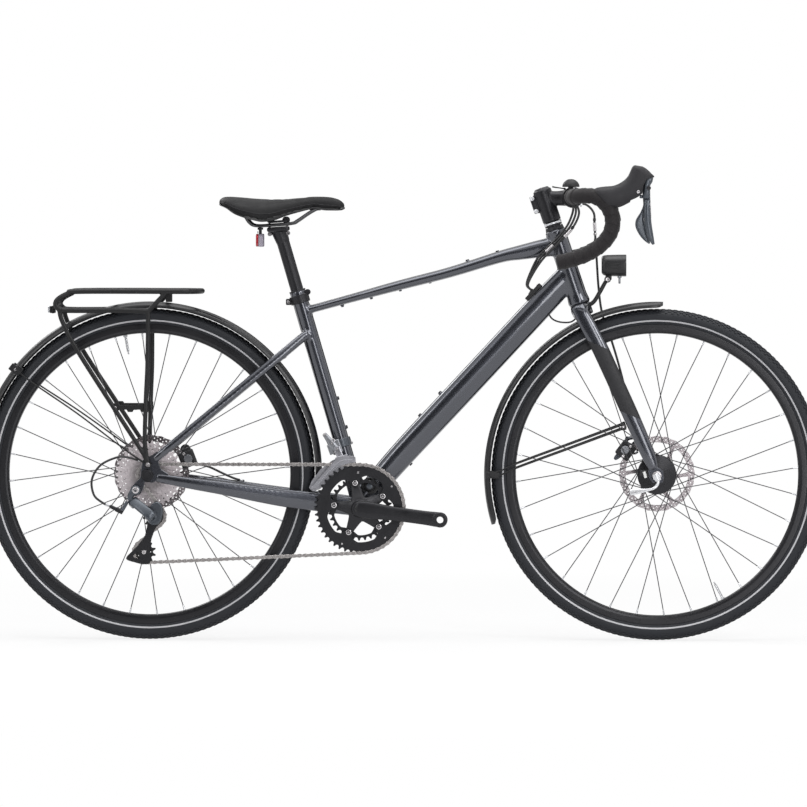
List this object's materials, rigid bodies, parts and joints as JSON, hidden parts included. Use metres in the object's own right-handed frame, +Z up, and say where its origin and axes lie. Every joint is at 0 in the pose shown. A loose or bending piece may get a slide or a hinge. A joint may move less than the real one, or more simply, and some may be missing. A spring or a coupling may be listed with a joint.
{
  "type": "gravel bike",
  "caption": "Drop-bar gravel bicycle with mudguards, rear rack, disc brakes, derailleur gears and a dynamo headlight; no pedals.",
  "frame": {"origin": "on the ground, halfway along the bicycle's length and on its middle plane", "axes": "+X forward, +Y to the rider's left, +Z up"},
  "size_m": [1.783, 0.458, 0.99],
  "materials": {
    "bar_tape": "black cushioned bar tape",
    "black_metal": "satin black anodised or painted alloy",
    "black_plastic": "satin black plastic",
    "cable_housing": "black cable housing",
    "chain_metal": "oiled chain steel",
    "frame_paint": "gloss dark grey metallic paint",
    "grey_metal": "dark grey alloy",
    "hood_rubber": "dark grey soft rubber",
    "red_reflector": "clear red reflector",
    "saddle_cover": "black smooth synthetic cover",
    "steel": "bare bright metal",
    "tyre_rubber": "dark grey tread rubber with a pale sidewall stripe"
  },
  "bodies": {
    "bicycle_frame": {"frame": "frame_paint", "seat_clamp": "black_metal", "rear_axle": "black_metal", "chain": "chain_metal", "rear_derailleur_mount": "grey_metal", "front_derailleur_body": "grey_metal", "rear_caliper": "black_metal", "rear_fender": "black_plastic", "rear_rack": "black_metal", "light_cable": "cable_housing", "shift_cable_rear": "cable_housing", "brake_cable_rear": "cable_housing"},
    "front_wheel": {"front_tire": "tyre_rubber", "front_rim": "black_metal", "front_hub": "black_metal", "front_rotor": "steel"},
    "rear_wheel": {"rear_tire": "tyre_rubber", "rear_rim": "black_metal", "rear_hub": "steel", "rear_rotor": "steel"},
    "steering": {"front_axle": "black_metal", "front_caliper": "black_metal", "front_fender": "black_plastic", "fork": "frame_paint", "stem": "black_metal", "handlebar": "black_metal", "bar_tape_right": "bar_tape", "hood_right": "hood_rubber", "bar_tape_left": "bar_tape", "hood_left": "hood_rubber", "bell": "black_plastic", "brake_cable_front": "cable_housing", "bar_cables": "cable_housing"},
    "front_quick_release": {"front_release_lever": "steel"},
    "rear_quick_release": {"rear_release_lever": "steel"},
    "crankset": {"chainring_outer": "black_metal", "chainring_inner": "grey_metal", "crank_right": "black_metal", "crank_left": "black_metal"},
    "freewheel": {"cassette": "steel"},
    "rear_changer_link": {"rear_derailleur_link": "grey_metal"},
    "rear_changer_knuckle": {"rear_derailleur_knuckle": "grey_metal"},
    "rear_changer_cage": {"rear_derailleur_cage": "black_metal"},
    "guide_pulley": {"guide_pulley": "black_plastic"},
    "tension_pulley": {"tension_pulley": "black_plastic"},
    "front_changer": {"front_derailleur_cage": "steel"},
    "front_brake_arm": {"front_caliper_arm": "grey_metal"},
    "rear_brake_arm": {"rear_caliper_arm": "grey_metal"},
    "seatpost": {"seatpost": "black_metal", "saddle": "saddle_cover", "saddle_rails": "black_metal", "rear_reflector": "red_reflector"},
    "headlight": {"headlight": "black_plastic"},
    "right_brake_lever": {"lever_bracket_right": "grey_metal"},
    "right_shift_blade": {"brake_blade_right": "grey_metal"},
    "right_shift_paddle": {"shift_paddle_right": "black_metal"},
    "left_brake_lever": {"lever_bracket_left": "grey_metal"},
    "left_shift_blade": {"brake_blade_left": "grey_metal"},
    "left_shift_paddle": {"shift_paddle_left": "black_metal"},
    "bell_striker": {"bell_striker": "black_plastic"}
  },
  "joints": [
    {"name": "steering", "type": "hinge", "parent": "bicycle_frame", "child": "steering", "pos_m": [0.37804, 0, 0.71366], "axis": [-0.3173, 0, 0.9483], "range_deg": [-60, 60], "deforming": ["bar_cables", "light_cable"]},
    {"name": "front_wheel_spin", "type": "hinge", "parent": "steering", "child": "front_wheel", "pos_m": [0.5425, 0, 0.349], "axis": [0, 1, 0], "continuous": true},
    {"name": "rear_wheel_spin", "type": "hinge", "parent": "bicycle_frame", "child": "rear_wheel", "pos_m": [-0.5275, 0, 0.349], "axis": [0, 1, 0], "continuous": true},
    {"name": "crank_spin", "type": "hinge", "parent": "bicycle_frame", "child": "crankset", "pos_m": [-0.0815, 0, 0.278], "axis": [0, 1, 0], "continuous": true},
    {"name": "freewheel_spin", "type": "hinge", "parent": "bicycle_frame", "child": "freewheel", "pos_m": [-0.5275, -0.059, 0.349], "axis": [0, 1, 0], "continuous": true},
    {"name": "seatpost_height", "type": "slide", "parent": "bicycle_frame", "child": "seatpost", "axis": [-0.2809, 0, 0.9597], "range_m": [-0.09, 0.06]},
    {"name": "headlight_tilt", "type": "hinge", "parent": "steering", "child": "headlight", "pos_m": [0.4385, 0, 0.76], "axis": [0, 1, 0], "range_deg": [-20, 20]},
    {"name": "bell_striker_press", "type": "hinge", "parent": "steering", "child": "bell_striker", "pos_m": [0.3485, -0.0415, 0.9504], "axis": [0, 1, 0], "range_deg": [-20, 0], "stiffness_Nm_per_rad": 0.03},
    {"name": "front_changer_shift", "type": "slide", "parent": "bicycle_frame", "child": "front_changer", "axis": [0, 1, 0], "range_m": [0, 0.008], "deforming": ["chain"]},
    {"name": "rear_changer_shift", "type": "hinge", "parent": "bicycle_frame", "child": "rear_changer_link", "pos_m": [-0.5545, -0.079, 0.291], "axis": [0.6675, 0.2904, 0.6856], "range_deg": [0, 37], "deforming": ["chain", "shift_cable_rear"]},
    {"name": "rear_changer_knuckle_swing", "type": "hinge", "parent": "rear_changer_link", "child": "rear_changer_knuckle", "pos_m": [-0.5194, -0.0942, 0.2633], "axis": [0.6675, 0.2904, 0.6856], "range_deg": [-37.1, 0], "deforming": ["chain"]},
    {"name": "rear_changer_cage_swing", "type": "hinge", "parent": "rear_changer_knuckle", "child": "rear_changer_cage", "pos_m": [-0.5135, -0.08, 0.262], "axis": [0, 1, 0], "range_deg": [-60, 8], "stiffness_Nm_per_rad": 0.6, "deforming": ["chain"]},
    {"name": "guide_pulley_spin", "type": "hinge", "parent": "rear_changer_cage", "child": "guide_pulley", "pos_m": [-0.5135, -0.059, 0.262], "axis": [0, 1, 0], "continuous": true},
    {"name": "tension_pulley_spin", "type": "hinge", "parent": "rear_changer_cage", "child": "tension_pulley", "pos_m": [-0.5355, -0.059, 0.1867], "axis": [0, 1, 0], "continuous": true},
    {"name": "right_brake_lever_pull", "type": "hinge", "parent": "steering", "child": "right_brake_lever", "pos_m": [0.5245, -0.21, 0.952], "axis": [0, 1, 0], "range_deg": [0, 16], "stiffness_Nm_per_rad": 1, "springref_deg": -14.32},
    {"name": "right_shift_blade_swing", "type": "hinge", "parent": "right_brake_lever", "child": "right_shift_blade", "pos_m": [0.5195, -0.21, 0.93], "axis": [1, 0, 0], "range_deg": [0, 15], "stiffness_Nm_per_rad": 0.4},
    {"name": "right_shift_paddle_swing", "type": "hinge", "parent": "right_brake_lever", "child": "right_shift_paddle", "pos_m": [0.509, -0.202, 0.93], "axis": [1, 0, 0], "range_deg": [0, 15], "stiffness_Nm_per_rad": 0.3},
    {"name": "left_brake_lever_pull", "type": "hinge", "parent": "steering", "child": "left_brake_lever", "pos_m": [0.5245, 0.21, 0.952], "axis": [0, 1, 0], "range_deg": [0, 16], "stiffness_Nm_per_rad": 1, "springref_deg": -14.32},
    {"name": "left_shift_blade_swing", "type": "hinge", "parent": "left_brake_lever", "child": "left_shift_blade", "pos_m": [0.5195, 0.21, 0.93], "axis": [-1, 0, 0], "range_deg": [0, 15], "stiffness_Nm_per_rad": 0.4},
    {"name": "left_shift_paddle_swing", "type": "hinge", "parent": "left_brake_lever", "child": "left_shift_paddle", "pos_m": [0.509, 0.202, 0.93], "axis": [-1, 0, 0], "range_deg": [0, 15], "stiffness_Nm_per_rad": 0.3},
    {"name": "front_brake_arm_pull", "type": "hinge", "parent": "steering", "child": "front_brake_arm", "pos_m": [0.47541, 0.056, 0.39955], "axis": [0, 1, 0], "range_deg": [0, 20], "deforming": ["brake_cable_front"]},
    {"name": "rear_brake_arm_pull", "type": "hinge", "parent": "bicycle_frame", "child": "rear_brake_arm", "pos_m": [-0.45625, 0.0685, 0.39777], "axis": [0, 1, 0], "range_deg": [0, 20], "deforming": ["brake_cable_rear"]},
    {"name": "front_quick_release_open", "type": "hinge", "parent": "steering", "child": "front_quick_release", "pos_m": [0.5425, -0.0734, 0.346], "axis": [-0.4698, 0, 0.8827], "range_deg": [0, 170]},
    {"name": "rear_quick_release_open", "type": "hinge", "parent": "bicycle_frame", "child": "rear_quick_release", "pos_m": [-0.5275, 0.0954, 0.346], "axis": [0.4698, 0, -0.8827], "range_deg": [0, 170]}
  ],
  "couplings": [
    {"joint": "freewheel_spin", "follows": "crank_spin", "ratio": 4.1818},
    {"joint": "guide_pulley_spin", "follows": "crank_spin", "ratio": -4.1818},
    {"joint": "tension_pulley_spin", "follows": "crank_spin", "ratio": 4.1818},
    {"joint": "rear_changer_knuckle_swing", "follows": "rear_changer_shift", "ratio": -1},
    {"joint": "front_brake_arm_pull", "follows": "left_brake_lever_pull", "ratio": 1.2},
    {"joint": "rear_brake_arm_pull", "follows": "right_brake_lever_pull", "ratio": 1.2}
  ]
}
